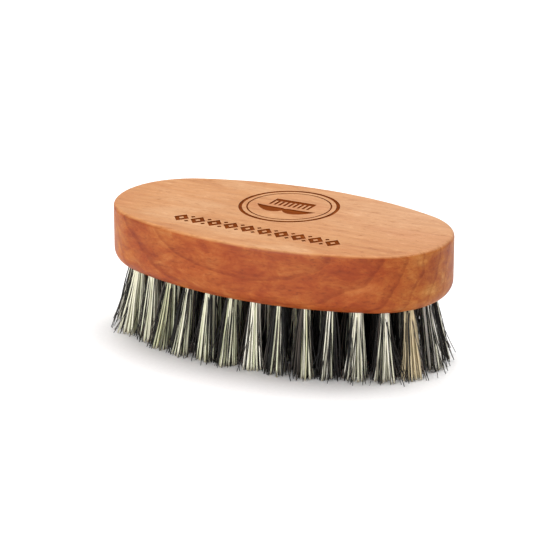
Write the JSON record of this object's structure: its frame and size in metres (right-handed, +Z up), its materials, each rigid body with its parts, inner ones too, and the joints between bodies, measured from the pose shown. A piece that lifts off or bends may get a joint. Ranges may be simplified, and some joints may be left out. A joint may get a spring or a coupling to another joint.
{
  "type": "beard brush",
  "caption": "Oval palm-held wooden beard brush with rounded edges, an engraved back and rings of slanted, staple-set mixed bristle tufts trimmed to a flat plane.",
  "frame": {"origin": "middle of the plane of the bristle tips, under the middle of the block", "axes": "+X along the long axis of the oval block, +Y across it towards the medallion, +Z up from the bristle tips to the engraved back"},
  "size_m": [0.1104, 0.06, 0.04],
  "materials": {
    "block_wood": "oiled, fine grain, burnt engraving",
    "mixed_bristle": "cream plant fibre mixed with black boar bristle",
    "anchor_wire": "flat wire, plain"
  },
  "bodies": {
    "root": {"wood_block": "block_wood", "outer_tuft_01": "mixed_bristle", "outer_tuft_02": "mixed_bristle", "outer_tuft_03": "mixed_bristle", "outer_tuft_04": "mixed_bristle", "outer_tuft_05": "mixed_bristle", "outer_tuft_06": "mixed_bristle", "outer_tuft_07": "mixed_bristle", "outer_tuft_08": "mixed_bristle", "outer_tuft_09": "mixed_bristle", "outer_tuft_10": "mixed_bristle", "outer_tuft_11": "mixed_bristle", "outer_tuft_12": "mixed_bristle", "outer_tuft_13": "mixed_bristle", "outer_tuft_14": "mixed_bristle", "outer_tuft_15": "mixed_bristle", "outer_tuft_16": "mixed_bristle", "outer_tuft_17": "mixed_bristle", "outer_tuft_18": "mixed_bristle", "outer_tuft_19": "mixed_bristle", "outer_tuft_20": "mixed_bristle", "outer_tuft_21": "mixed_bristle", "outer_tuft_22": "mixed_bristle", "outer_tuft_23": "mixed_bristle", "outer_tuft_24": "mixed_bristle", "outer_tuft_25": "mixed_bristle", "outer_tuft_26": "mixed_bristle", "outer_tuft_27": "mixed_bristle", "outer_tuft_28": "mixed_bristle", "outer_tuft_29": "mixed_bristle", "outer_tuft_30": "mixed_bristle", "second_tuft_01": "mixed_bristle", "second_tuft_02": "mixed_bristle", "second_tuft_03": "mixed_bristle", "second_tuft_04": "mixed_bristle", "second_tuft_05": "mixed_bristle", "second_tuft_06": "mixed_bristle", "second_tuft_07": "mixed_bristle", "second_tuft_08": "mixed_bristle", "second_tuft_09": "mixed_bristle", "second_tuft_10": "mixed_bristle", "second_tuft_11": "mixed_bristle", "second_tuft_12": "mixed_bristle", "second_tuft_13": "mixed_bristle", "second_tuft_14": "mixed_bristle", "second_tuft_15": "mixed_bristle", "second_tuft_16": "mixed_bristle", "second_tuft_17": "mixed_bristle", "second_tuft_18": "mixed_bristle", "second_tuft_19": "mixed_bristle", "second_tuft_20": "mixed_bristle", "second_tuft_21": "mixed_bristle", "second_tuft_22": "mixed_bristle", "inner_ring_tufts": "mixed_bristle", "centre_row_tufts": "mixed_bristle", "outer_ring_anchors": "anchor_wire", "second_ring_anchors": "anchor_wire", "inner_ring_anchors": "anchor_wire", "centre_row_anchors": "anchor_wire"}
  },
  "joints": []
}
